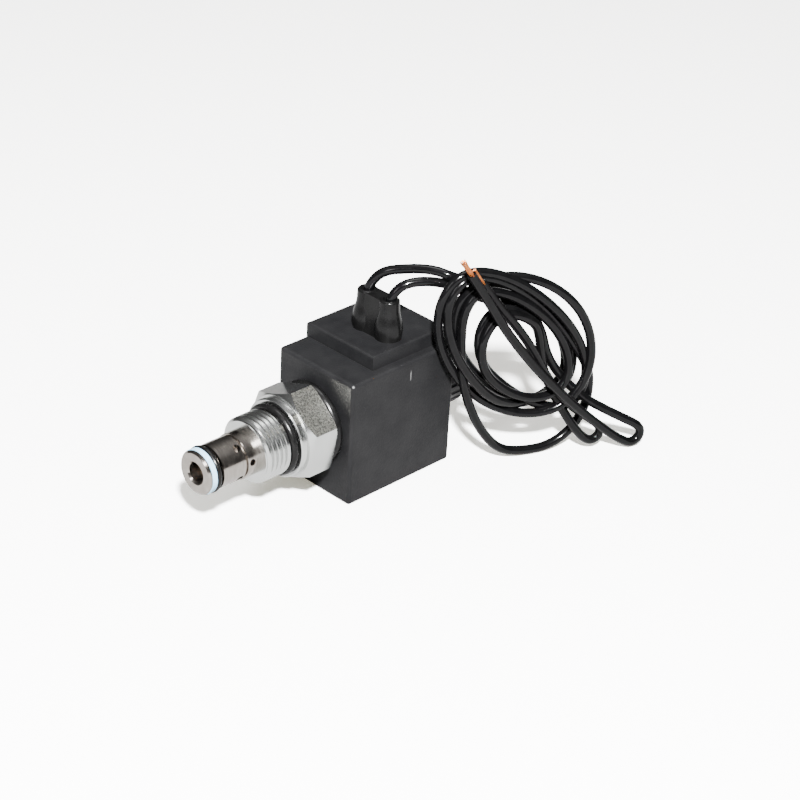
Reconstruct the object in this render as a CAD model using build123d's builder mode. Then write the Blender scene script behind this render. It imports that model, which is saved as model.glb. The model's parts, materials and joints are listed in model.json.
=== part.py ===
from build123d import *
import math
import os

# A screw-in solenoid cartridge valve: a size 08 poppet cartridge, its coil, and two long leads.
# X runs along the cartridge, nose towards -X. Z is up. The coil stands on its flat bottom at Z = 0,
# and the origin is under the middle of the object without its leads. Lengths are millimetres.

# ---------------------------------------------------------------- driving dimensions
nose_reach = 42.6  # from the coil's front face to the tip of the nose
coil_length = 39.4
coil_width = 29.6
coil_height = 37.8
nut_reach = 11.0  # from the coil's rear face to the end of its nut
axis_height = 20.7  # of the cartridge, above the coil's bottom

thread_radius = 9.525  # 3/4-16 UN
thread_pitch = 25.4 / 16
thread_depth = 0.86
hex_across_flats = 24.0
hex_turn = 39.65  # degrees, from +Y to the first corner
collar_radius = 11.3
nose_radius = 6.3
nose_rear_radius = 6.6
port_radius = 2.9
side_hole_radius = 1.1
feed_hole_radius = 0.95

air_gap = 1.6  # between the plunger and the pole piece, coil off

tube_radius = 6.35
tube_bore_radius = 5.32
coil_bore_radius = 6.45
stud_radius = 5.5
stud_pitch = 1.27
nut_radius = 11.0

pad_height = 4.2
boot_height = 11.8
lead_radius = 1.35
copper_radius = 0.75
lead_spacing = 8.7  # between the two lobes of the boot

fit_gap = 0.02  # between parts pushed or screwed together
slide_gap = 0.05  # between parts that slide

# ---------------------------------------------------------------- stations along X
overall = nose_reach + coil_length + nut_reach
tip = -overall / 2
coil_face = tip + nose_reach
coil_back = coil_face + coil_length
nut_end = coil_back + nut_reach

groove_front = tip + 0.85
groove_back = tip + 4.85
seat = tip + 6.4
side_holes = tip + 11.2
nose_step = tip + 13.1
feed_holes = tip + 14.5
thread_front = tip + 17.3
thread_back = tip + 25.4
collar_front = tip + 28.0
hex_front = tip + 30.2
hex_back = coil_face - 3.2
cage_back = thread_front + 8.0
tube_front = hex_back - 5.0
tube_back = coil_face + 24.5
pole_face = coil_face + 21.0
stud_front = coil_back + 0.6
stud_end = coil_back + 8.2
seal_thickness = 1.1
nut_front = coil_back + seal_thickness

valve_axis = Axis((0, 0, axis_height), (1, 0, 0))
turning_plane = Plane(origin=(0, 0, axis_height), x_dir=(1, 0, 0), z_dir=(0, -1, 0))


def across(x):
    """The plane across the cartridge at x: its own x is +Y, its own y is +Z."""
    return Plane(origin=(x, 0, axis_height), x_dir=(0, 1, 0), z_dir=(1, 0, 0))


def turned(*points):
    """The half outline of a turned part, from its (x, radius) points."""
    with BuildSketch(turning_plane) as outline:
        with BuildLine():
            Polyline(*points, close=True)
        make_face()
    return outline.sketch


def ring_section(x, radius, section_radius):
    """The round section of an O-ring."""
    with BuildSketch(turning_plane) as section:
        with Locations((x, radius)):
            Circle(section_radius)
    return section.sketch


def screw_groove(start, end, crest_radius, pitch, depth):
    """The V-shaped helical groove that turns a cylinder into a right-hand thread."""
    overrun = 0.3
    with BuildPart() as groove:
        with BuildLine() as path:
            helix = Helix(
                pitch,
                end - start + pitch,
                crest_radius,
                center=(start - pitch, 0, axis_height),
                direction=(1, 0, 0),
            )
        outwards = (helix @ 0) - Vector(start - pitch, 0, axis_height)
        with BuildSketch(Plane(origin=helix @ 0, x_dir=outwards, z_dir=helix % 0)):
            with BuildLine():
                Polyline(
                    (-depth, -0.08 * pitch),
                    (overrun, -0.5 * pitch),
                    (overrun, 0.5 * pitch),
                    (-depth, 0.08 * pitch),
                    close=True,
                )
            make_face()
        sweep(path=path.line, is_frenet=True)
    return groove.part


def coil_spring(start, end, mean_radius, wire_radius, turns):
    """A helical wire between two faces across the cartridge."""
    length = end - start - 2 * wire_radius
    with BuildPart() as wire:
        with BuildLine() as path:
            helix = Helix(
                length / turns,
                length,
                mean_radius,
                center=(start + wire_radius, 0, axis_height),
                direction=(1, 0, 0),
            )
        with BuildSketch(Plane(origin=helix @ 0, z_dir=helix % 0)):
            Circle(wire_radius)
        sweep(path=path.line, is_frenet=True)
    return wire.part


finished = []


def finish(builder, name):
    """Label the piece and write it to its own file."""
    builder.part.label = name
    export_step(builder.part, f"parts/{name}.step")
    finished.append(name)


os.makedirs("parts", exist_ok=True)

# ---------------------------------------------------------------- cartridge, hydraulic end
groove_radius = 4.95
cage_bore_radius = 4.4
cage_tail_radius = 6.35
seat_depth = cage_bore_radius - port_radius

with BuildPart() as cage:
    revolve(
        turned(
            (tip, port_radius + 0.5),
            (tip, nose_radius - 0.6),
            (tip + 0.5, nose_radius),
            (groove_front, nose_radius),
            (groove_front, groove_radius),
            (groove_back, groove_radius),
            (groove_back, nose_radius),
            (nose_step - 0.6, nose_radius),
            (nose_step - 0.5, nose_radius - 0.35),
            (nose_step - 0.1, nose_radius - 0.35),
            (nose_step, nose_rear_radius - 0.1),
            (nose_step + 0.1, nose_rear_radius),
            (thread_front, nose_rear_radius),
            (thread_front, cage_tail_radius),
            (cage_back, cage_tail_radius),
            (cage_back, cage_bore_radius),
            (seat + seat_depth, cage_bore_radius),
            (seat, port_radius),
            (tip + 0.5, port_radius),
        ),
        axis=valve_axis,
    )
    # flow holes behind the seat, then the smaller pilot feed holes, turned between them
    for station, hole_radius, turn in (
        (side_holes, side_hole_radius, 36),
        (feed_holes, feed_hole_radius, -6),
    ):
        with BuildSketch(Plane.XY.offset(axis_height), mode=Mode.PRIVATE) as hole:
            with Locations((station, 0)):
                Circle(hole_radius)
        drill = extrude(hole.sketch, nose_radius + 2, mode=Mode.PRIVATE)
        for quarter in range(4):
            # the drill stands along +Z, which is 90 degrees round from +Y
            add(
                drill.rotate(valve_axis, turn + 90 * quarter - 90),
                mode=Mode.SUBTRACT,
            )
finish(cage, "cage")

backup_width = 1.5
with BuildPart() as nose_backup_ring:
    revolve(
        turned(
            (groove_front + 0.05, groove_radius + fit_gap),
            (groove_front + 0.05, nose_radius + 0.15),
            (groove_front + 0.05 + backup_width, nose_radius + 0.15),
            (groove_front + 0.05 + backup_width, groove_radius + fit_gap),
        ),
        axis=valve_axis,
    )
finish(nose_backup_ring, "nose_backup_ring")

nose_ring_section = 0.89
with BuildPart() as nose_o_ring:
    revolve(
        ring_section(
            groove_front + 0.05 + backup_width + nose_ring_section,
            groove_radius + nose_ring_section,
            nose_ring_section,
        ),
        axis=valve_axis,
    )
finish(nose_o_ring, "nose_o_ring")

poppet_back = seat + 15.8
pilot_floor = seat + 8.2
pocket_radius = 2.75
pilot_hole_radius = 0.6
poppet_radius = cage_bore_radius - slide_gap
seat_clearance = 0.02

with BuildPart() as main_poppet:
    revolve(
        turned(
            (seat + 0.1 + seat_clearance, pilot_hole_radius),
            (seat + 0.1 + seat_clearance, port_radius + 0.1),
            (seat + 0.5 + seat_clearance, port_radius + 0.5),
            (seat + 6.1, 3.4),
            (seat + 6.1, poppet_radius),
            (seat + 7.1, poppet_radius),
            (seat + 7.1, 3.75),
            (seat + 10.2, 3.75),
            (seat + 10.2, poppet_radius),
            (poppet_back - 0.3, poppet_radius),
            (poppet_back, poppet_radius - 0.3),
            (poppet_back, pocket_radius),
            (pilot_floor, pocket_radius),
            (pilot_floor, pilot_hole_radius),
        ),
        axis=valve_axis,
    )
    # the orifice that feeds the space behind the poppet
    with BuildSketch(Plane.XY.offset(axis_height), mode=Mode.PRIVATE) as orifice:
        with Locations((seat + 9.2, 0)):
            Circle(0.4)
    add(extrude(orifice.sketch, 5, both=True, mode=Mode.PRIVATE), mode=Mode.SUBTRACT)
finish(main_poppet, "main_poppet")

pin_radius = 1.4
plunger_front = tube_front + 0.6
plunger_back = pole_face - air_gap
pin_depth = 8.0

with BuildPart() as pilot_pin:
    revolve(
        turned(
            (pilot_floor - 0.28, 0),
            (pilot_floor - 0.28, 0.3),
            (pilot_floor + 0.82, pin_radius),
            (plunger_front + pin_depth, pin_radius),
            (plunger_front + pin_depth, 0),
        ),
        axis=valve_axis,
    )
finish(pilot_pin, "pilot_pin")

body_bore_radius = 1.75
hex_corner_radius = hex_across_flats / math.sqrt(3)
undercut_radius = 8.15
body_ring_section = 1.1
ring_seat = 0.1  # the shallow recess in the shoulder behind the body O-ring
thread_root_radius = thread_radius - thread_depth

with BuildPart() as hex_body:
    revolve(
        turned(
            (thread_front, cage_tail_radius + fit_gap),
            (thread_front, thread_root_radius),
            (thread_front + thread_depth, thread_radius),
            (thread_back, thread_radius),
            (thread_back + 0.25, undercut_radius),
            (collar_front + ring_seat, undercut_radius),
            (collar_front + ring_seat, undercut_radius + 2 * body_ring_section + 0.1),
            (collar_front, undercut_radius + 2 * body_ring_section + 0.1),
            (collar_front, collar_radius - 0.3),
            (collar_front + 0.3, collar_radius),
            (hex_front, collar_radius),
            (hex_front + 0.5, collar_radius),
            (hex_front + 0.5, cage_tail_radius + fit_gap),
        ),
        axis=valve_axis,
    )
    # the hexagon, turned away at both ends to a chamfer
    with BuildSketch(across(hex_front)) as hexagon:
        RegularPolygon(hex_corner_radius, 6, rotation=hex_turn)
    hex_block = extrude(hexagon.sketch, hex_back - hex_front, mode=Mode.PRIVATE)
    turned_block = revolve(
        turned(
            (hex_front, 0),
            (hex_front, 11.75),
            (hex_front + 1.4, hex_corner_radius + 0.05),
            (hex_back - 0.6, hex_corner_radius + 0.05),
            (hex_back, 12.9),
            (hex_back, 0),
        ),
        axis=valve_axis,
        mode=Mode.PRIVATE,
    )
    add(hex_block & turned_block)
    # the bores: the cage's, the pilot pin's, and the guide tube's
    revolve(
        turned(
            (thread_front, 0),
            (thread_front, cage_tail_radius + fit_gap),
            (cage_back, cage_tail_radius + fit_gap),
            (cage_back, body_bore_radius),
            (tube_front, body_bore_radius),
            (tube_front, tube_radius + fit_gap),
            (hex_back, tube_radius + fit_gap),
            (hex_back, 0),
        ),
        axis=valve_axis,
        mode=Mode.SUBTRACT,
    )
    add(
        screw_groove(
            thread_front, thread_back, thread_radius, thread_pitch, thread_depth
        ),
        mode=Mode.SUBTRACT,
    )
finish(hex_body, "hex_body")

with BuildPart() as body_o_ring:
    revolve(
        ring_section(
            collar_front + ring_seat - body_ring_section,
            undercut_radius + body_ring_section,
            body_ring_section,
        ),
        axis=valve_axis,
    )
finish(body_o_ring, "body_o_ring")

with BuildPart() as poppet_spring:
    add(coil_spring(pilot_floor, cage_back, 2.2, 0.25, 7))
finish(poppet_spring, "poppet_spring")

# ---------------------------------------------------------------- cartridge, magnetic end
plunger_radius = tube_bore_radius - 0.07
spring_pocket_radius = 2.6
spring_pocket_floor = plunger_back - 10.0

with BuildPart() as plunger:
    revolve(
        turned(
            (plunger_front, pin_radius),
            (plunger_front, plunger_radius - 0.4),
            (plunger_front + 0.4, plunger_radius),
            (plunger_back - 0.3, plunger_radius),
            (plunger_back, plunger_radius - 0.3),
            (plunger_back, spring_pocket_radius),
            (spring_pocket_floor, spring_pocket_radius),
            (spring_pocket_floor, 0),
            (plunger_front + pin_depth, 0),
            (plunger_front + pin_depth, pin_radius),
        ),
        axis=valve_axis,
    )
    # two slots let the oil past the plunger
    with BuildSketch(across(plunger_front)):
        with PolarLocations(plunger_radius, 2, start_angle=90):
            Rectangle(1.6, 1.2)
    extrude(amount=plunger_back - plunger_front, mode=Mode.SUBTRACT)
finish(plunger, "plunger")

with BuildPart() as plunger_spring:
    add(coil_spring(spring_pocket_floor, pole_face, 2.0, 0.35, 8))
finish(plunger_spring, "plunger_spring")

with BuildPart() as guide_tube:
    revolve(
        turned(
            (tube_front, tube_bore_radius),
            (tube_front, tube_radius),
            (tube_back, tube_radius),
            (tube_back, tube_bore_radius),
        ),
        axis=valve_axis,
    )
finish(guide_tube, "guide_tube")

stud_thread_depth = 0.7
with BuildPart() as pole_piece:
    revolve(
        turned(
            (pole_face, 0),
            (pole_face, tube_bore_radius - 0.5),
            (pole_face + 0.5, tube_bore_radius - fit_gap),
            (tube_back, tube_bore_radius - fit_gap),
            (tube_back, tube_radius),
            (stud_front - 0.4, tube_radius),
            (stud_front, tube_radius - 0.4),
            (stud_front, stud_radius - stud_thread_depth),
            (stud_front + 0.7, stud_radius - stud_thread_depth),
            (stud_front + 1.3, stud_radius),
            (stud_end - 0.8, stud_radius),
            (stud_end, stud_radius - 0.8),
            (stud_end, 0),
        ),
        axis=valve_axis,
    )
    add(
        screw_groove(
            stud_front + 1.5,
            stud_end,
            stud_radius,
            stud_pitch,
            stud_thread_depth,
        ),
        mode=Mode.SUBTRACT,
    )
finish(pole_piece, "pole_piece")

front_seal_section = (coil_face - hex_back) / 2
front_seal_radius = 10.8
with BuildPart() as coil_front_seal:
    revolve(
        ring_section(
            coil_face - front_seal_section, front_seal_radius, front_seal_section
        ),
        axis=valve_axis,
    )
finish(coil_front_seal, "coil_front_seal")

nut_seal_radius = 8.4
nut_seal_width = 3.6
with BuildPart() as nut_seal:
    with BuildSketch(turning_plane) as seal_section:
        with Locations((coil_back + seal_thickness / 2, nut_seal_radius)):
            RectangleRounded(seal_thickness, nut_seal_width, 0.45)
    revolve(axis=valve_axis)
finish(nut_seal, "nut_seal")

nut_bore_end = stud_end + 0.5
nut_flutes = 24
with BuildPart() as coil_nut:
    revolve(
        turned(
            (nut_front, stud_radius + slide_gap),
            (nut_front, nut_radius - 0.6),
            (nut_front + 0.6, nut_radius),
            (nut_end - 1.2, nut_radius),
            (nut_end, nut_radius - 1.2),
            (nut_end, 0),
            (nut_bore_end, 0),
            (nut_bore_end, stud_radius + slide_gap),
        ),
        axis=valve_axis,
    )
    # the grip, with a plain band left towards the coil
    with BuildSketch(across(nut_front + 1.6)):
        with PolarLocations(nut_radius + 0.35, nut_flutes):
            Circle(0.85)
    extrude(amount=nut_reach, mode=Mode.SUBTRACT)
finish(coil_nut, "coil_nut")

# ---------------------------------------------------------------- coil
edge_radius = 1.0
pad_front = coil_face + 10.1
pad_back = coil_face + 38.2
pad_near = -11.8
pad_far = coil_width / 2
pad_top = coil_height + pad_height

frame_front = coil_face + 1.2
frame_back = coil_back - 1.2
plate = 2.4
frame_half_width = 12.0
frame_bottom = axis_height - 15.2
frame_top = axis_height + 12.6
flange_radius = 12.4
barrel_radius = 7.4
spool_front = frame_front + plate
spool_back = frame_back - plate
flange = 1.0

seal_boss_radius = front_seal_radius - front_seal_section - 0.1

boot_x = coil_face + 21.4
boot_y = -1.5
lead_left_y = boot_y + lead_spacing / 2
lead_right_y = boot_y - lead_spacing / 2
boot_top = pad_top + boot_height
crimp_top = boot_top - 5.0


def frame_block():
    """The flux frame: one strip bent up at both ends, with a hole for the tube in each end."""
    with BuildPart() as block:
        with BuildSketch(Plane.XZ.offset(-frame_half_width)):
            with BuildLine():
                Polyline(
                    (frame_front, frame_bottom),
                    (frame_back, frame_bottom),
                    (frame_back, frame_top),
                    (frame_back - plate, frame_top),
                    (frame_back - plate, frame_bottom + plate),
                    (frame_front + plate, frame_bottom + plate),
                    (frame_front + plate, frame_top),
                    (frame_front, frame_top),
                    close=True,
                )
            make_face()
        extrude(amount=2 * frame_half_width)
    return block.part


def terminal_outline(y, pin, barrel):
    """A winding terminal: a pin up from the spool, and a crimp barrel around the lead's end."""
    terminal_foot = axis_height + flange_radius + 0.2
    with BuildPart() as post:
        with BuildSketch(Plane.XY.offset(terminal_foot)):
            with Locations((boot_x, y)):
                Circle(pin)
        extrude(amount=crimp_top - terminal_foot)
        with BuildSketch(Plane.XY.offset(crimp_top - 6)):
            with Locations((boot_x, y)):
                Circle(barrel)
        extrude(amount=6)
    return post.part


with BuildPart() as flux_frame:
    add(frame_block())
    with BuildSketch(across(frame_front)):
        Circle(coil_bore_radius)
    extrude(amount=frame_back - frame_front, mode=Mode.SUBTRACT)
finish(flux_frame, "flux_frame")

with BuildPart() as bobbin:
    revolve(
        turned(
            (spool_front, coil_bore_radius),
            (spool_front, flange_radius),
            (spool_front + flange, flange_radius),
            (spool_front + flange, barrel_radius),
            (spool_back - flange, barrel_radius),
            (spool_back - flange, flange_radius),
            (spool_back, flange_radius),
            (spool_back, coil_bore_radius),
        ),
        axis=valve_axis,
    )
finish(bobbin, "bobbin")

with BuildPart() as winding:
    revolve(
        turned(
            (spool_front + flange, barrel_radius),
            (spool_front + flange, flange_radius - 0.4),
            (spool_back - flange, flange_radius - 0.4),
            (spool_back - flange, barrel_radius),
        ),
        axis=valve_axis,
    )
finish(winding, "winding")

with BuildPart() as winding_tape:
    revolve(
        turned(
            (spool_front + flange, flange_radius - 0.4),
            (spool_front + flange, flange_radius),
            (spool_back - flange, flange_radius),
            (spool_back - flange, flange_radius - 0.4),
        ),
        axis=valve_axis,
    )
finish(winding_tape, "winding_tape")

pin_wire_radius = 0.7
barrel_wire_radius = 1.4
for side, lead_y in (("left", lead_left_y), ("right", lead_right_y)):
    with BuildPart() as terminal:
        add(terminal_outline(lead_y, pin_wire_radius, barrel_wire_radius))
    finish(terminal, f"terminal_{side}")

with BuildPart() as coil_body:
    with BuildSketch(Plane.XY):
        with Locations((coil_face + coil_length / 2, 0)):
            Rectangle(coil_length, coil_width)
    extrude(amount=coil_height)
    fillet(coil_body.edges(), edge_radius)
    # the raised pad under the leads
    with BuildSketch(Plane.XY.offset(coil_height - edge_radius - 0.2)):
        with BuildLine():
            Polyline(
                (pad_front, pad_near),
                (pad_back, pad_near),
                (pad_back, pad_far),
                (pad_front, pad_far),
                close=True,
            )
        make_face()
    extrude(amount=pad_height + edge_radius + 0.2)
    fillet(coil_body.faces().sort_by(Axis.Z)[-1].edges(), 0.6)
    # the boss that holds the front seal round
    with BuildSketch(across(hex_back)):
        Circle(seal_boss_radius)
    extrude(amount=coil_face - hex_back + 1)
    # the hollows that the frame, the spool and the terminals fill
    add(frame_block(), mode=Mode.SUBTRACT)
    with BuildSketch(across(spool_front)):
        Circle(flange_radius)
    extrude(amount=spool_back - spool_front, mode=Mode.SUBTRACT)
    with BuildSketch(across(hex_back)):
        Circle(coil_bore_radius)
    extrude(amount=coil_back - hex_back, mode=Mode.SUBTRACT)
    for lead_y in (lead_left_y, lead_right_y):
        add(
            terminal_outline(lead_y, pin_wire_radius, barrel_wire_radius),
            mode=Mode.SUBTRACT,
        )
finish(coil_body, "coil_body")

# ---------------------------------------------------------------- lead boot
lobe_widest = 4.0
lobe_neck = 2.85
web_foot = 6.4
web_top = 4.8
mouth_radius = 1.9  # where the boot opens to let the lead bend
mouth_bottom = boot_top - 2.4


def lobe(y):
    """One bottle-shaped lobe: a wide lower half that narrows to the lead."""
    upright = Plane(origin=(boot_x, y, pad_top), x_dir=(1, 0, 0), z_dir=(0, -1, 0))
    with BuildPart() as bottle:
        with BuildSketch(upright):
            with BuildLine():
                base = Line((0, 0), (lobe_widest - 0.2, 0))
                shoulder = Spline(
                    base @ 1,
                    (lobe_widest, 3.2),
                    (lobe_neck + 0.35, 7.0),
                    (lobe_neck, boot_height - 0.7),
                    tangents=((0.1, 1), (-0.02, 1)),
                )
                crown = ThreePointArc(
                    shoulder @ 1,
                    (lobe_neck - 0.2, boot_height - 0.2),
                    (lobe_neck - 0.7, boot_height),
                )
                top = Line(crown @ 1, (0, boot_height))
                Line(top @ 1, (0, 0))
            make_face()
        revolve(axis=Axis((boot_x, y, 0), (0, 0, 1)))
    return bottle.part


with BuildPart() as lead_boot:
    add(lobe(lead_left_y))
    add(lobe(lead_right_y))
    # the web between the lobes, thinner than they are
    with BuildSketch(Plane.XY.offset(pad_top)):
        with Locations((boot_x, boot_y)):
            Rectangle(web_foot, lead_spacing)
    with BuildSketch(Plane.XY.offset(boot_top - 0.25)):
        with Locations((boot_x, boot_y)):
            Rectangle(web_top, lead_spacing)
    loft()
    for lead_y in (lead_left_y, lead_right_y):
        add(
            terminal_outline(lead_y, pin_wire_radius, barrel_wire_radius),
            mode=Mode.SUBTRACT,
        )
        with BuildSketch(Plane.XY.offset(crimp_top - 1)):
            with Locations((boot_x, lead_y)):
                Circle(lead_radius)
        extrude(amount=boot_height, mode=Mode.SUBTRACT)
        with BuildSketch(Plane.XY.offset(mouth_bottom)):
            with Locations((boot_x, lead_y)):
                Circle(lead_radius)
        with BuildSketch(Plane.XY.offset(boot_top)):
            with Locations((boot_x, lead_y)):
                Circle(mouth_radius)
        loft(mode=Mode.SUBTRACT)
finish(lead_boot, "lead_boot")

# ---------------------------------------------------------------- leads
# The leads are gathered into a hank that stands beside the coil, in an upright plane. A place in
# the hank is (along, height, depth): along the plane, above the ground, and towards the coil.
hank_origin = Vector(31.0, -19.5, 0)
hank_turn = -20.0
hank_along = Vector(1, 0, 0).rotate(Axis.Z, hank_turn)
hank_depth = Vector(0, 1, 0).rotate(Axis.Z, hank_turn)


def in_hank(along, height, depth):
    return (
        hank_origin + hank_along * along + hank_depth * depth + Vector(0, 0, height)
    )


left_free_route = [
    Vector(boot_x, lead_left_y, crimp_top),
    Vector(boot_x, lead_left_y, boot_top - 1.0),
    Vector(17.8, 2.3, 55.2),
    Vector(18.5, 1.1, 57.4),
    Vector(19.5, -0.5, 59.1),
    Vector(20.8, -2.4, 60.2),
    Vector(23.2, -5.6, 60.9),
    Vector(25.6, -8.8, 61.5),
    Vector(28.0, -12.8, 61.3),
    Vector(30.1, -17.1, 59.4),
    in_hank(-0.2, 55.2, -0.4),
]
right_free_route = [
    Vector(boot_x, lead_right_y, crimp_top),
    Vector(boot_x, lead_right_y, boot_top - 1.1),
    Vector(18.2, -6.3, 55.0),
    Vector(19.5, -7.2, 56.9),
    Vector(21.3, -8.3, 58.1),
    Vector(24.0, -10.0, 58.6),
    Vector(27.4, -12.2, 58.4),
    Vector(31.1, -15.1, 57.4),
    Vector(34.8, -18.5, 54.9),
    in_hank(6.6, 50.4, 0.2),
]
# the turn that hangs lowest and carries the hank on the ground
low_loop_route = [
    in_hank(1.2, 41.0, 0.3),
    in_hank(1.6, 33.0, -0.3),
    in_hank(3.2, 25.0, -0.4),
    in_hank(6.4, 16.6, -0.3),
    in_hank(10.6, 9.2, 0),
    in_hank(16.2, 3.2, 0.2),
    in_hank(23.6, lead_radius, 0.2),
    in_hank(31.6, 1.5, 0.1),
    in_hank(38.2, 5.0, 0),
    in_hank(42.6, 11.6, -0.1),
    in_hank(43.6, 19.4, -0.2),
    in_hank(42.2, 27.2, -0.2),
]
# each tail leaves the hank at its lower right, folds back and crosses it to its bare end
left_tail_route = [
    in_hank(37.6, 24.6, -0.6),
    in_hank(41.2, 18.8, -3.0),
    in_hank(46.4, 14.2, -4.8),
    in_hank(52.4, 10.2, -5.8),
    in_hank(58.3, 6.5, -6.4),
    in_hank(58.8, 4.0, -6.5),
    in_hank(57.5, 2.0, -6.6),
    in_hank(55.0, 1.5, -6.7),
    in_hank(48.0, 6.4, -6.4),
    in_hank(39.6, 13.6, -6.2),
    in_hank(29.6, 23.6, -6.1),
    in_hank(20.0, 34.6, -6.1),
    in_hank(11.2, 46.4, -6.0),
    in_hank(5.6, 56.6, -6.0),
    in_hank(0.9, 65.4, -5.9),
]
right_tail_route = [
    in_hank(28.6, 16.0, -0.3),
    in_hank(34.2, 12.2, -2.0),
    in_hank(38.2, 8.2, -3.3),
    in_hank(42.2, 3.1, -3.6),
    in_hank(44.7, 3.2, -3.8),
    in_hank(46.3, 5.1, -3.8),
    in_hank(46.0, 7.6, -3.7),
    in_hank(42.6, 11.0, -3.5),
    in_hank(38.4, 14.4, -3.3),
    in_hank(32.0, 20.0, -3.3),
    in_hank(26.4, 28.6, -3.3),
    in_hank(21.6, 37.6, -3.3),
    in_hank(15.8, 46.2, -3.3),
    in_hank(9.6, 53.6, -3.3),
    in_hank(5.2, 60.6, -3.2),
]


def bend_radii(route):
    """As large a bend at each point as the runs beside it allow."""
    radii = []
    for before, point, after in zip(route, route[1:], route[2:]):
        shorter = min((point - before).length, (after - point).length)
        turn = math.radians((point - before).get_angle(after - point))
        radii.append(0.45 * shorter / math.tan(turn / 2))
    return radii


def lead_line(route):
    """The middle line of a lead: straight runs joined by tangent bends."""
    with BuildLine() as line:
        FilletPolyline(*route, radius=bend_radii(route))
    return line.wire()


def round_section(line, radius):
    """The round section of a lead, across the start of its line."""
    with BuildSketch(Plane(origin=line @ 0, z_dir=line % 0)) as section:
        Circle(radius)
    return section.sketch


lead_routes = {
    "lead_left": left_free_route,
    "lead_right": right_free_route,
    "lead_low_loop": low_loop_route,
    "lead_tail_left": left_tail_route,
    "lead_tail_right": right_tail_route,
}
for name, route in lead_routes.items():
    line = lead_line(route)
    with BuildPart() as lead:
        sweep(sections=round_section(line, lead_radius), path=line)
    finish(lead, name)
    expected = line.length * math.pi * lead_radius**2
    print(name, "bends", [round(radius, 1) for radius in bend_radii(route)])
    print(
        name, "length", round(line.length, 1), "volume", lead.part.volume / expected
    )

# the bare ends, where the insulation is stripped
bare_length = 6.0
for side, route in (("left", left_tail_route), ("right", right_tail_route)):
    direction = (route[-1] - route[-2]).normalized()
    with BuildPart() as bare_end:
        with BuildSketch(Plane(origin=route[-1], z_dir=direction)):
            Circle(copper_radius)
        extrude(amount=bare_length)
    finish(bare_end, f"bare_end_{side}")

# the gathered turns as one closed ring: an oval, with an oval opening set low in it
hank_thickness = 4.4
hank_back = 2.4  # the depth of its side towards the coil
hank_lean = -48.0
hank_outline = (30.0, 21.0)
hank_opening = (17.6, 11.0)
hank_plane = Plane(
    origin=in_hank(18.0, 37.0, hank_back), x_dir=hank_along, z_dir=-hank_depth
)
with BuildPart() as lead_hank:
    with BuildSketch(hank_plane):
        with Locations((0.6, 1.4)):
            Ellipse(*hank_outline, rotation=hank_lean)
        with Locations((1.6, -1.2)):
            Ellipse(*hank_opening, rotation=hank_lean, mode=Mode.SUBTRACT)
    extrude(amount=hank_thickness)
    fillet(lead_hank.edges(), 2.0)
finish(lead_hank, "lead_hank")

print(len(finished), "parts")
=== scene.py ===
import json
import math
import random

import bmesh
import bpy
from mathutils import Matrix, Vector


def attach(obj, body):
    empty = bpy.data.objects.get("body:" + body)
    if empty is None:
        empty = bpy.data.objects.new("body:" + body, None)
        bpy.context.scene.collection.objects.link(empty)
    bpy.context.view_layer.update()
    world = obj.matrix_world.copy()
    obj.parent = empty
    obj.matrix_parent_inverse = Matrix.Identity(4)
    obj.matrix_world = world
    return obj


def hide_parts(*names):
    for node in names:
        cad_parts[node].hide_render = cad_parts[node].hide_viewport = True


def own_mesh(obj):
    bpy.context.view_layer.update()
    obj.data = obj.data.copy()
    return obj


# The looks of a screw-in solenoid cartridge valve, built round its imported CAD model.
# Everything is in metres in the model's own frame. MM turns a length in millimetres into metres.
MM = 0.001

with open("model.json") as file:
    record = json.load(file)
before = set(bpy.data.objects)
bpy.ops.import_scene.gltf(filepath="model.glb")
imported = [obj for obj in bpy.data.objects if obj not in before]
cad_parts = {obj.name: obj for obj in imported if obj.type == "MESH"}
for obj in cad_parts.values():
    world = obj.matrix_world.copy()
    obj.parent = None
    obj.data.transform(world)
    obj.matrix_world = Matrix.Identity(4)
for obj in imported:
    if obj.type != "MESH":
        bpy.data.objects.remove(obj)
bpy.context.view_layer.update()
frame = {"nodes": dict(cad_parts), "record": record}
nodes = frame["nodes"]

# ---------------------------------------------------------------- camera
CAMERA_AZIMUTH = math.radians(-46.35)
CAMERA_ELEVATION = math.radians(29.37)
CAMERA_ROLL = math.radians(3.25)
CAMERA_DISTANCE = 645.18 * MM
CAMERA_TARGET = Vector((33.79, 0, 19.90)) * MM
CAMERA_LENS = 101.5  # on a 36 mm sensor
CAMERA_SHIFT = (-0.01375, -0.025)


def make_camera():
    back = Vector(
        (
            math.sin(CAMERA_AZIMUTH) * math.cos(CAMERA_ELEVATION),
            -math.cos(CAMERA_AZIMUTH) * math.cos(CAMERA_ELEVATION),
            math.sin(CAMERA_ELEVATION),
        )
    )
    level = Vector((0, 0, 1)).cross(back).normalized()
    upward = back.cross(level)
    right = level * math.cos(CAMERA_ROLL) + upward * math.sin(CAMERA_ROLL)
    up = upward * math.cos(CAMERA_ROLL) - level * math.sin(CAMERA_ROLL)
    data = bpy.data.cameras.new("camera")
    data.sensor_width = 36
    data.lens = CAMERA_LENS
    data.shift_x, data.shift_y = CAMERA_SHIFT
    camera = bpy.data.objects.new("camera", data)
    turn = Matrix((right, up, back)).transposed().to_4x4()
    camera.matrix_world = (
        Matrix.Translation(CAMERA_TARGET + back * CAMERA_DISTANCE) @ turn
    )
    bpy.context.collection.objects.link(camera)
    bpy.context.scene.camera = camera


make_camera()

# ---------------------------------------------------------------- leads
LEAD_DIAMETER = 2.7 * MM
LEAD_POINTS_PER_QUARTER = 4
LEAD_STEPS = 6  # between two points of its curve

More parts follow.
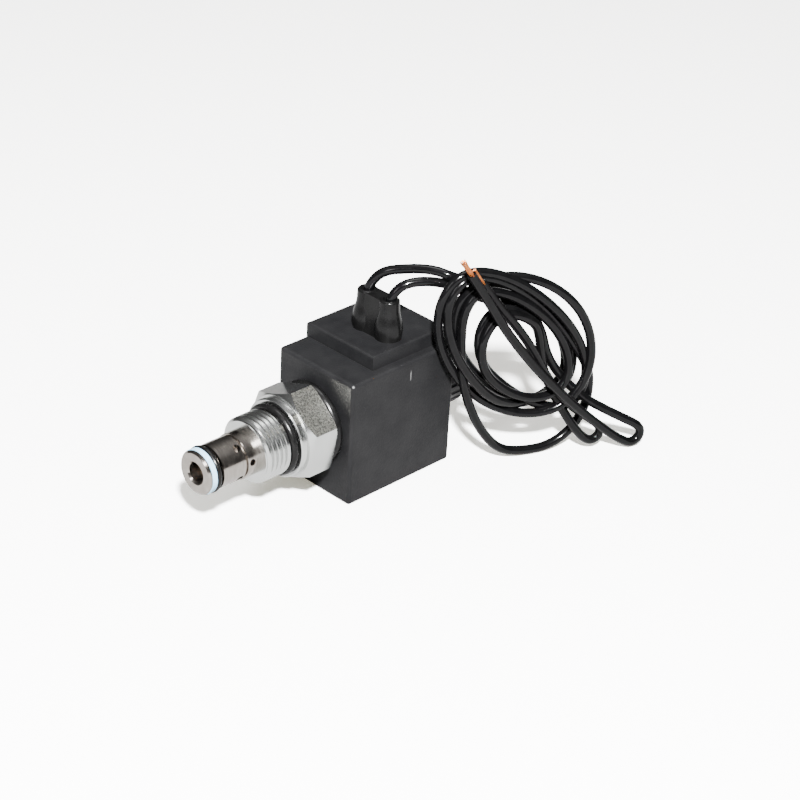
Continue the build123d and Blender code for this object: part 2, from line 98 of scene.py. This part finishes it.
# The turns lie in the plane of the hank. A place in it is (along, height, depth) in millimetres,
# with depth towards the coil.
HANK_ORIGIN = Vector((31.0, -19.5, 0))
HANK_TURN = Matrix.Rotation(math.radians(-20), 3, "Z")
HANK_MIDDLE = Vector((19.5, 37.0))
HANK_LEAN = math.radians(-48)
TO_LOWER_RIGHT = Vector((math.cos(HANK_LEAN), math.sin(HANK_LEAN)))
TO_UPPER_RIGHT = Vector((-math.sin(HANK_LEAN), math.cos(HANK_LEAN)))
# the quarters in the order the leads run through them
QUARTERS = (TO_UPPER_RIGHT, TO_LOWER_RIGHT, -TO_UPPER_RIGHT, -TO_LOWER_RIGHT)


def in_hank(along, height, depth):
    return HANK_ORIGIN + HANK_TURN @ Vector((along, depth, 0)) + Vector((0, 0, height))


def turns(first_quarter, stations):
    """Points round the hank, through (reach from its middle, depth) at each quarter."""
    points = []
    for i, (start, end) in enumerate(zip(stations, stations[1:])):
        from_side = QUARTERS[(first_quarter + i) % 4]
        to_side = QUARTERS[(first_quarter + i + 1) % 4]
        for step in range(LEAD_POINTS_PER_QUARTER):
            angle = math.pi / 2 * step / LEAD_POINTS_PER_QUARTER
            flat = HANK_MIDDLE + from_side * start[0] * math.cos(angle)
            flat = flat + to_side * end[0] * math.sin(angle)
            share = math.sin(angle) ** 2
            depth = start[1] * (1 - share) + end[1] * share
            points.append(in_hank(flat.x, flat.y, depth))
    last_side = QUARTERS[(first_quarter + len(stations) - 1) % 4]
    flat = HANK_MIDDLE + last_side * stations[-1][0]
    points.append(in_hank(flat.x, flat.y, stations[-1][1]))
    return points


left_route = [
    Vector((17.5, 2.85, 48.8)),
    Vector((17.5, 2.85, 52.8)),
    Vector((17.9, 2.2, 55.2)),
    Vector((18.6, 1.0, 57.4)),
    Vector((19.5, -0.5, 59.1)),
    Vector((20.8, -2.4, 60.2)),
    Vector((23.2, -5.6, 61.0)),
    Vector((25.6, -8.8, 61.6)),
    Vector((28.0, -12.8, 61.8)),
    Vector((30.1, -17.1, 60.8)),
    in_hank(3.4, 58.4, 2.9),
    in_hank(9.5, 55.8, 2.8),
]
left_route += turns(
    0,
    [
        (13.8, 1.8),
        (25.5, 3.6),
        (14.6, 3.6),
        (25.5, 1.2),
        (19.3, -3.2),
        (25.2, -3.2),
        (19.3, 1.8),
        (33.3, -1.2),
        (14.4, -2.9),
        (29.2, -0.4),
        (11.6, -0.3),
        (14.5, 0.9),
        (8.2, -0.2),
    ],
)
left_route += [
    in_hank(29.0, 30.8, 0.2),
    in_hank(34.8, 23.0, -0.8),
    in_hank(40.4, 17.4, -3.0),
    in_hank(46.4, 13.6, -4.8),
    in_hank(52.4, 10.0, -5.8),
    in_hank(57.6, 6.8, -6.4),
    in_hank(58.6, 4.3, -6.5),
    in_hank(57.5, 2.2, -6.5),
    in_hank(55.0, 1.5, -6.6),
    in_hank(52.0, 3.2, -6.6),
    in_hank(48.0, 6.2, -6.4),
    in_hank(39.6, 13.6, -6.2),
    in_hank(29.6, 23.6, -6.1),
    in_hank(20.0, 34.6, -6.1),
    in_hank(11.2, 46.4, -6.0),
    in_hank(5.2, 56.6, -6.0),
    in_hank(-0.2, 65.0, -5.9),
]
right_route = [
    Vector((17.5, -5.85, 48.8)),
    Vector((17.5, -5.85, 52.7)),
    Vector((18.2, -6.3, 55.0)),
    Vector((19.5, -7.2, 56.9)),
    Vector((21.3, -8.3, 58.1)),
    Vector((24.0, -10.0, 58.6)),
    Vector((27.4, -12.2, 58.4)),
    Vector((31.1, -15.1, 57.5)),
    Vector((34.8, -18.5, 55.2)),
    in_hank(9.4, 51.6, 2.8),
]
right_route += turns(
    0, [(11.8, 3.2), (22.7, 3.2), (16.6, -2.2), (31.6, -1.8), (12.4, -0.6)]
)
# the turn that hangs lowest
right_route += [
    in_hank(42.2, 27.2, -0.2),
    in_hank(43.6, 19.4, -0.2),
    in_hank(42.6, 11.6, -0.1),
    in_hank(38.2, 5.0, 0),
    in_hank(31.6, 1.5, 0.1),
    in_hank(23.6, 1.4, 0.2),
    in_hank(16.2, 3.2, 0.2),
    in_hank(10.6, 9.2, 0),
    in_hank(6.4, 16.6, -0.3),
    in_hank(3.2, 25.0, -0.4),
    in_hank(1.6, 33.0, -0.3),
    in_hank(1.2, 41.0, 0.3),
    in_hank(1.0, 49.0, -0.2),
]
right_route += turns(
    3, [(24.3, -0.8), (10.6, -1.8), (20.0, -2.6), (12.6, -2.4), (13.4, -1.4), (7.4, -0.8)]
)
right_route += [
    in_hank(26.8, 28.8, -1.0),
    in_hank(31.0, 19.8, -1.6),
    in_hank(35.0, 12.8, -2.4),
    in_hank(37.6, 8.6, -3.3),
    in_hank(41.2, 4.2, -3.6),
    in_hank(43.8, 3.0, -3.8),
    in_hank(46.1, 4.3, -3.8),
    in_hank(46.4, 6.8, -3.7),
    in_hank(44.4, 9.2, -3.6),
    in_hank(38.0, 14.2, -3.3),
    in_hank(32.0, 20.0, -3.3),
    in_hank(26.4, 28.6, -3.3),
    in_hank(21.6, 37.6, -3.3),
    in_hank(15.5, 46.2, -3.3),
    in_hank(9.3, 53.5, -3.3),
    in_hank(4.7, 60.4, -3.2),
]


def make_lead(name, route):
    data = bpy.data.curves.new(name, "CURVE")
    data.dimensions = "3D"
    data.resolution_u = LEAD_STEPS
    # each point carries the lead's radius, because Blender counts that radius in the curve's box
    data.bevel_depth = 1
    data.bevel_resolution = 5
    data.use_fill_caps = True
    spline = data.splines.new("NURBS")
    spline.points.add(len(route) - 1)
    for point, place in zip(spline.points, route):
        point.co = (*(place * MM), 1)
        point.radius = LEAD_DIAMETER / 2
    spline.order_u = 3
    spline.use_endpoint_u = True
    spline.resolution_u = LEAD_STEPS
    lead = bpy.data.objects.new(name, data)
    bpy.context.collection.objects.link(lead)
    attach(lead, "valve")
    return lead


def mesh_piece(name, mesh):
    """A new smooth object from a bmesh, riding on the valve."""
    data = bpy.data.meshes.new(name)
    mesh.to_mesh(data)
    mesh.free()
    for face in data.polygons:
        face.use_smooth = True
    piece = bpy.data.objects.new(name, data)
    bpy.context.collection.objects.link(piece)
    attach(piece, "valve")
    return piece


def add_tube(mesh, line, radius, sides):
    """A closed tube along a line of points."""
    rings = []
    side = None
    for i, place in enumerate(line):
        ahead = (line[min(i + 1, len(line) - 1)] - line[max(i - 1, 0)]).normalized()
        if side is None:
            side = ahead.orthogonal().normalized()
        side = (side - ahead * side.dot(ahead)).normalized()
        other = ahead.cross(side)
        ring = []
        for k in range(sides):
            angle = 2 * math.pi * k / sides
            offset = side * math.cos(angle) + other * math.sin(angle)
            ring.append(mesh.verts.new(place + offset * radius))
        rings.append(ring)
    for near, far in zip(rings, rings[1:]):
        for k in range(sides):
            after = (k + 1) % sides
            mesh.faces.new((near[k], near[after], far[after], far[k]))
    mesh.faces.new(list(reversed(rings[0])))
    mesh.faces.new(rings[-1])


WIRES = 14
INNER_WIRES = 4
INNER_RING = 0.24 * MM  # how far the inner wires lie from the middle
OUTER_RING = 0.56 * MM
WIRE_RADIUS = 0.15 * MM
WIRE_SIDES = 7
WIRE_POINTS = 14
WIRE_TWIST = 2.6  # over the bare length
PARTING = 0.35  # the share of the length after which the wires part
BARE_LENGTH = 6 * MM
BARE_START = 0.4 * MM  # how far the wires reach back into the insulation


def bare_end(name, route, flare, seed):
    """The stripped end of a lead: fine wires twisted together that part a little at the tip."""
    draw = random.Random(seed)
    start = route[-1] * MM
    ahead = (route[-1] - route[-2]).normalized()
    side = ahead.orthogonal().normalized()
    other = ahead.cross(side)
    mesh = bmesh.new()
    for wire in range(WIRES):
        inner = wire < INNER_WIRES
        home = INNER_RING if inner else OUTER_RING
        around = 2 * math.pi * wire / (INNER_WIRES if inner else WIRES - INNER_WIRES)
        reach = BARE_LENGTH * draw.uniform(0.9, 0.985)
        lean = draw.uniform(0.4, 1.0) * flare
        stray = draw.uniform(-0.5, 0.5)
        line = []
        for i in range(WIRE_POINTS):
            share = i / (WIRE_POINTS - 1)
            out = home * (1 + lean * max(0, share - PARTING) ** 2)
            angle = around + WIRE_TWIST * share + stray * share**2
            spread = side * math.cos(angle) + other * math.sin(angle)
            line.append(start + ahead * (reach * share - BARE_START) + spread * out)
        add_tube(mesh, line, WIRE_RADIUS, WIRE_SIDES)
    return mesh_piece(name, mesh)


left_lead = make_lead("left_lead_wire", left_route)
right_lead = make_lead("right_lead_wire", right_route)
left_bare = bare_end("left_lead_strands", left_route, 1.2, 5)
right_bare = bare_end("right_lead_strands", right_route, 0.3, 8)
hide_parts("lead_left", "lead_hank", "lead_tail_left")
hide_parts("lead_right", "lead_low_loop", "lead_tail_right")
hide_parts("bare_end_left")
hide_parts("bare_end_right")


# ---------------------------------------------------------------- springs
AXIS_HEIGHT = 20.7
SPRING_STEPS_PER_COIL = 28
SPRING_CLOSED = 0.85  # turns at each end that lie against each other
SPRING_CLOSED_PITCH = 1.02  # in wire diameters
SPRING_SIDES = 10


def make_spring(name, start, end, mean_radius, wire_radius, coils):
    """A compression spring with closed ends, between two faces across the cartridge."""
    steps = SPRING_STEPS_PER_COIL * coils
    closed = SPRING_CLOSED
    line = []
    low = start + wire_radius
    high = end - wire_radius
    lift = 2 * wire_radius * SPRING_CLOSED_PITCH
    for i in range(steps + 1):
        turned = coils * i / steps
        if turned < closed:
            x = low + lift * turned
        elif turned > coils - closed:
            x = high - lift * (coils - turned)
        else:
            share = (turned - closed) / (coils - 2 * closed)
            x = low + lift * closed + share * (high - low - 2 * lift * closed)
        angle = 2 * math.pi * turned
        across = mean_radius * math.cos(angle)
        height = AXIS_HEIGHT + mean_radius * math.sin(angle)
        line.append(Vector((x, across, height)) * MM)
    mesh = bmesh.new()
    add_tube(mesh, line, wire_radius * MM, SPRING_SIDES)
    spring = mesh_piece(name, mesh)
    return spring


# the faces that each spring stands between, along X
POPPET_SPRING = (-31.9, -21.2)
PLUNGER_SPRING = (5.5, 17.1)
poppet_spring = make_spring("poppet_coil_spring", *POPPET_SPRING, 2.2, 0.25, 8)
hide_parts("poppet_spring")
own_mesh(poppet_spring)
plunger_spring = make_spring("plunger_coil_spring", *PLUNGER_SPRING, 2.0, 0.35, 9)
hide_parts("plunger_spring")
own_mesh(plunger_spring)


# ---------------------------------------------------------------- materials
class Finish:
    """A small builder for one procedural material, on the piece's own coordinates."""

    def __init__(self, name, color, roughness, metallic=0.0):
        self.material = bpy.data.materials.new(name)
        self.material.use_nodes = True
        self.tree = self.material.node_tree
        self.shader = self.tree.nodes["Principled BSDF"]
        self.shader.inputs["Base Color"].default_value = (*color, 1)
        self.shader.inputs["Roughness"].default_value = roughness
        self.shader.inputs["Metallic"].default_value = metallic
        self.places = self.tree.nodes.new("ShaderNodeTexCoord").outputs["Object"]
        self.bump = None

    def link(self, output, socket):
        self.tree.links.new(output, socket)

    def stretched(self, scale):
        node = self.tree.nodes.new("ShaderNodeMapping")
        node.inputs["Scale"].default_value = scale
        self.link(self.places, node.inputs["Vector"])
        return node.outputs["Vector"]

    def noise(self, scale, detail=4.0, roughness=0.55, stretch=(1, 1, 1)):
        node = self.tree.nodes.new("ShaderNodeTexNoise")
        node.inputs["Scale"].default_value = scale
        node.inputs["Detail"].default_value = detail
        node.inputs["Roughness"].default_value = roughness
        self.link(self.stretched(stretch), node.inputs["Vector"])
        return node.outputs["Fac"]

    def spread(self, value, low, high, start=0.3, end=0.7):
        """A value, stretched from (start, end) to (low, high)."""
        node = self.tree.nodes.new("ShaderNodeMapRange")
        node.inputs["From Min"].default_value = start
        node.inputs["From Max"].default_value = end
        node.inputs["To Min"].default_value = low
        node.inputs["To Max"].default_value = high
        self.link(value, node.inputs["Value"])
        return node.outputs["Result"]

    def color(self, value, *stops):
        """The base colour, from a value through (position, colour) stops."""
        node = self.tree.nodes.new("ShaderNodeValToRGB")
        ramp = node.color_ramp
        while len(ramp.elements) < len(stops):
            ramp.elements.new(0.5)
        for element, (position, color) in zip(ramp.elements, stops):
            element.position = position
            element.color = (*color, 1)
        self.link(value, node.inputs["Fac"])
        self.shade = node.outputs["Color"]
        self.link(self.shade, self.shader.inputs["Base Color"])

    def mark(self, place, reach, color):
        """A small mark in another colour, within its reach of a place."""
        node = self.tree.nodes.new("ShaderNodeMapping")
        node.vector_type = "TEXTURE"
        node.inputs["Location"].default_value = place
        node.inputs["Scale"].default_value = reach
        self.link(self.places, node.inputs["Vector"])
        away = self.tree.nodes.new("ShaderNodeVectorMath")
        away.operation = "LENGTH"
        self.link(node.outputs["Vector"], away.inputs[0])
        mix = self.tree.nodes.new("ShaderNodeMix")
        mix.data_type = "RGBA"
        near = self.spread(away.outputs["Value"], 1.0, 0.0, 0.7, 1.1)
        self.link(near, mix.inputs["Factor"])
        self.link(self.shade, mix.inputs[6])
        mix.inputs[7].default_value = (*color, 1)
        self.shade = mix.outputs[2]
        self.link(self.shade, self.shader.inputs["Base Color"])

    def roughness(self, value, low, high, start=0.3, end=0.7):
        self.link(
            self.spread(value, low, high, start, end), self.shader.inputs["Roughness"]
        )

    def add_bump(self, height, distance):
        node = self.tree.nodes.new("ShaderNodeBump")
        node.inputs["Distance"].default_value = distance
        node.inputs["Strength"].default_value = 1.0
        self.link(height, node.inputs["Height"])
        if self.bump is not None:
            self.link(self.bump, node.inputs["Normal"])
        self.bump = node.outputs["Normal"]
        self.link(self.bump, self.shader.inputs["Normal"])


# a scuff on the coil's side, and a painted highlight on its top corner by the seal: where each is,
# and how far it reaches
COIL_SCUFF_AND_HIGHLIGHT = (
    (Vector((18.15, -14.8, 33.4)), Vector((0.22, 1.0, 1.7))),
    (Vector((-3.6, -14.6, 37.5)), Vector((0.5, 0.5, 0.5))),
)


def coil_finish():
    finish = Finish("coil_black", (0.012, 0.012, 0.013), 0.5)
    finish.shader.inputs["Specular IOR Level"].default_value = 0.12
    cloud = finish.noise(90, 5)
    finish.color(cloud, (0.3, (0.0026, 0.0026, 0.0029)), (0.7, (0.0046, 0.0046, 0.0049)))
    # the lighter grey paints the scuff on the side and, at the top corner, a painted highlight
    for place, reach in COIL_SCUFF_AND_HIGHLIGHT:
        finish.mark(place * MM, reach * MM, (0.06, 0.06, 0.06))
    finish.roughness(finish.noise(260, 5), 0.38, 0.55)
    finish.add_bump(finish.noise(1500, 3, 0.6), 0.00006)
    finish.add_bump(finish.noise(120, 3), 0.00005)
    return finish


# which way the grainy flat of the hexagon faces: half way between two of its corners
HEX_TURN = 39.65
GRAINY_ANGLE = math.radians(HEX_TURN + 90)
GRAINY_FLAT = (0, math.cos(GRAINY_ANGLE), math.sin(GRAINY_ANGLE))


def zinc_finish():
    finish = Finish("zinc_plate", (0.56, 0.57, 0.57), 0.2, 1.0)
    # the flat that faces up towards the nose side was left as rolled, and is grainy
    geometry = finish.tree.nodes.new("ShaderNodeNewGeometry")
    facing = finish.tree.nodes.new("ShaderNodeVectorMath")
    facing.operation = "DOT_PRODUCT"
    facing.inputs[1].default_value = GRAINY_FLAT
    finish.link(geometry.outputs["Normal"], facing.inputs[0])
    on_flat = finish.spread(facing.outputs["Value"], 0.0, 1.0, 0.985, 0.995)
    grain = finish.tree.nodes.new("ShaderNodeMix")
    finish.link(on_flat, grain.inputs["Factor"])
    finish.link(finish.spread(finish.noise(160, 3), 0.0, 0.1), grain.inputs["A"])
    finish.link(finish.noise(2200, 2, 0.5), grain.inputs["B"])
    finish.color(
        grain.outputs["Result"],
        (0.0, (0.55, 0.56, 0.55)),
        (0.1, (0.62, 0.63, 0.62)),
        (0.35, (0.10, 0.10, 0.09)),
        (0.65, (0.42, 0.42, 0.38)),
    )
    finish.roughness(on_flat, 0.2, 0.34, 0, 1)
    finish.add_bump(grain.outputs["Result"], 0.0001)
    return finish


def steel_finish():
    finish = Finish("ground_steel", (0.40, 0.37, 0.34), 0.2, 1.0)
    streak = finish.noise(350, 5, 0.6, (6, 1, 1))
    finish.color(
        streak,
        (0.25, (0.27, 0.245, 0.22)),
        (0.6, (0.38, 0.35, 0.32)),
        (0.85, (0.48, 0.45, 0.42)),
    )
    finish.roughness(finish.noise(600, 4, 0.6, (5, 1, 1)), 0.12, 0.24)
    return finish


def wire_finish():
    finish = Finish("spring_wire", (0.30, 0.30, 0.31), 0.32, 1.0)
    finish.color(
        finish.noise(900, 4), (0.3, (0.22, 0.22, 0.23)), (0.7, (0.42, 0.42, 0.43))
    )
    finish.roughness(finish.noise(1400, 3), 0.25, 0.42)
    return finish


def rubber_finish():
    finish = Finish("rubber", (0.008, 0.008, 0.008), 0.34)
    finish.shader.inputs["Specular IOR Level"].default_value = 0.16
    finish.color(
        finish.noise(500, 4), (0.3, (0.0015, 0.0015, 0.0015)), (0.7, (0.003, 0.003, 0.003))
    )
    finish.roughness(finish.noise(800, 4), 0.18, 0.30)
    finish.add_bump(finish.noise(2500, 2), 0.00002)
    return finish


def ptfe_finish():
    finish = Finish("ptfe", (0.74, 0.83, 0.89), 0.42)
    finish.shader.inputs["Subsurface Weight"].default_value = 0.1
    finish.shader.inputs["Subsurface Radius"].default_value = (0.001, 0.001, 0.001)
    finish.color(
        finish.noise(400, 4), (0.3, (0.17, 0.31, 0.43)), (0.7, (0.25, 0.41, 0.53))
    )
    finish.roughness(finish.noise(900, 3), 0.35, 0.5)
    return finish


def plastic_finish(name, dark, light, rough_low, rough_high, grain, shine=0.3):
    finish = Finish(name, light, rough_high)
    finish.color(finish.noise(300, 4), (0.3, dark), (0.7, light))
    finish.roughness(finish.noise(600, 4), rough_low, rough_high)
    finish.add_bump(finish.noise(1600, 3), grain)
    finish.shader.inputs["Specular IOR Level"].default_value = shine
    return finish


def metal_finish(name, dark, light, rough_low, rough_high):
    finish = Finish(name, light, rough_high, 1.0)
    finish.color(finish.noise(800, 5, 0.65), (0.3, dark), (0.7, light))
    finish.roughness(finish.noise(1200, 4), rough_low, rough_high)
    finish.add_bump(finish.noise(2500, 3), 0.00001)
    return finish


finishes = {
    "coil_black": coil_finish(),
    "zinc_plate": zinc_finish(),
    "ground_steel": steel_finish(),
    "spring_wire": wire_finish(),
    "rubber": rubber_finish(),
    "ptfe": ptfe_finish(),
    "nut_black": plastic_finish(
        "nut_black", (0.008, 0.008, 0.009), (0.014, 0.014, 0.015), 0.3, 0.45, 0.00005
    ),
    "boot_black": plastic_finish(
        "boot_black", (0.0012, 0.0012, 0.0012), (0.0025, 0.0025, 0.0025), 0.18, 0.28, 0.00002, 0.14
    ),
    "lead_black": plastic_finish(
        "lead_black", (0.0008, 0.0008, 0.0009), (0.0016, 0.0016, 0.0017), 0.1, 0.17, 0.00001, 0.16
    ),
    "copper": metal_finish(
        "copper", (0.50, 0.13, 0.03), (0.86, 0.34, 0.12), 0.26, 0.42
    ),
    "terminal_brass": metal_finish(
        "terminal_brass", (0.60, 0.46, 0.22), (0.80, 0.66, 0.36), 0.2, 0.35
    ),
    "spool_nylon": plastic_finish(
        "spool_nylon", (0.48, 0.45, 0.38), (0.58, 0.55, 0.48), 0.35, 0.5, 0.00003
    ),
    "tape": plastic_finish(
        "tape", (0.62, 0.44, 0.08), (0.76, 0.58, 0.16), 0.25, 0.4, 0.00002
    ),
}


def paint(thing, slot):
    thing.data.materials.clear()
    thing.data.materials.append(finishes[slot].material)


for subpart in frame["record"]["subparts"]:
    paint(nodes[subpart["node"]], subpart["material_slot"])
for lead in (left_lead, right_lead):
    paint(lead, "lead_black")
for strands in (left_bare, right_bare):
    paint(strands, "copper")
for spring in (poppet_spring, plunger_spring):
    paint(spring, "spring_wire")


# ---------------------------------------------------------------- stage
MIDDLE = (0.01, -0.005, 0.02)
# each light: its name, place, size and power
LIGHTS = (
    ("key", (-0.46, -0.54, 0.70), (0.06, 0.06), 130),
    ("overhead", (0.1, 0.15, 1.1), (0.5, 0.5), 7),
    ("left", (-0.8, -0.1, 0.45), (0.12, 0.4), 3),
)
# grey levels of the room from below to overhead
ROOM_STOPS = ((0.0, 0.05), (0.3, 0.07), (0.6, 0.15), (0.85, 0.5), (1.0, 0.8))
FLOOR_HALF_WIDTH = 3.0
FLOOR_DROP = 0.05 * MM
# the floor's glow and paleness, as light thrown on to the object and as seen
FLOOR_GLOW = (0.05, 0.35)
FLOOR_PALENESS = (0.2, 0.97)


def make_floor():
    mesh = bmesh.new()
    bmesh.ops.create_grid(mesh, x_segments=1, y_segments=1, size=FLOOR_HALF_WIDTH)
    data = bpy.data.meshes.new("floor")
    mesh.to_mesh(data)
    mesh.free()
    floor = bpy.data.objects.new("floor", data)
    floor.location.z = -FLOOR_DROP
    bpy.context.collection.objects.link(floor)
    material = bpy.data.materials.new("floor")
    material.use_nodes = True
    shader = material.node_tree.nodes["Principled BSDF"]
    shader.inputs["Roughness"].default_value = 0.9
    shader.inputs["Specular IOR Level"].default_value = 0.0
    shader.inputs["Emission Color"].default_value = (1.0, 0.95, 0.70, 1)
    # the sheet is overexposed where it is seen, and throws only a little light on to the part
    tree = material.node_tree
    path = tree.nodes.new("ShaderNodeLightPath")
    for socket, (thrown, seen) in (
        ("Emission Strength", FLOOR_GLOW),
        ("Base Color", FLOOR_PALENESS),
    ):
        level = tree.nodes.new("ShaderNodeMapRange")
        level.inputs["To Min"].default_value = thrown
        level.inputs["To Max"].default_value = seen
        tree.links.new(path.outputs["Is Camera Ray"], level.inputs["Value"])
        tree.links.new(level.outputs["Result"], shader.inputs[socket])
    data.materials.append(material)


def area_light(name, place, size, power):
    data = bpy.data.lights.new(name, "AREA")
    data.shape = "RECTANGLE"
    data.size, data.size_y = size
    data.energy = power
    light = bpy.data.objects.new(name, data)
    light.location = place
    light.rotation_mode = "QUATERNION"
    light.rotation_quaternion = (
        (Vector(place) - Vector(MIDDLE)).normalized().to_track_quat("Z", "Y")
    )
    bpy.context.collection.objects.link(light)


def make_world():
    """A dim room: darker at the horizon, a little lighter overhead, as metal shows it."""
    world = bpy.data.worlds.new("studio")
    world.use_nodes = True
    tree = world.node_tree
    background = tree.nodes["Background"]
    background.inputs["Strength"].default_value = 1.0
    place = tree.nodes.new("ShaderNodeTexCoord")
    split = tree.nodes.new("ShaderNodeSeparateXYZ")
    tree.links.new(place.outputs["Generated"], split.inputs["Vector"])
    ramp = tree.nodes.new("ShaderNodeValToRGB")
    while len(ramp.color_ramp.elements) < len(ROOM_STOPS):
        ramp.color_ramp.elements.new(0.5)
    for element, (position, grey) in zip(ramp.color_ramp.elements, ROOM_STOPS):
        element.position = position
        element.color = (grey, grey, grey, 1)
    tree.links.new(split.outputs["Z"], ramp.inputs["Fac"])
    tree.links.new(ramp.outputs["Color"], background.inputs["Color"])
    bpy.context.scene.world = world


make_floor()
make_world()
for light in LIGHTS:
    area_light(*light)

bpy.context.view_layer.update()
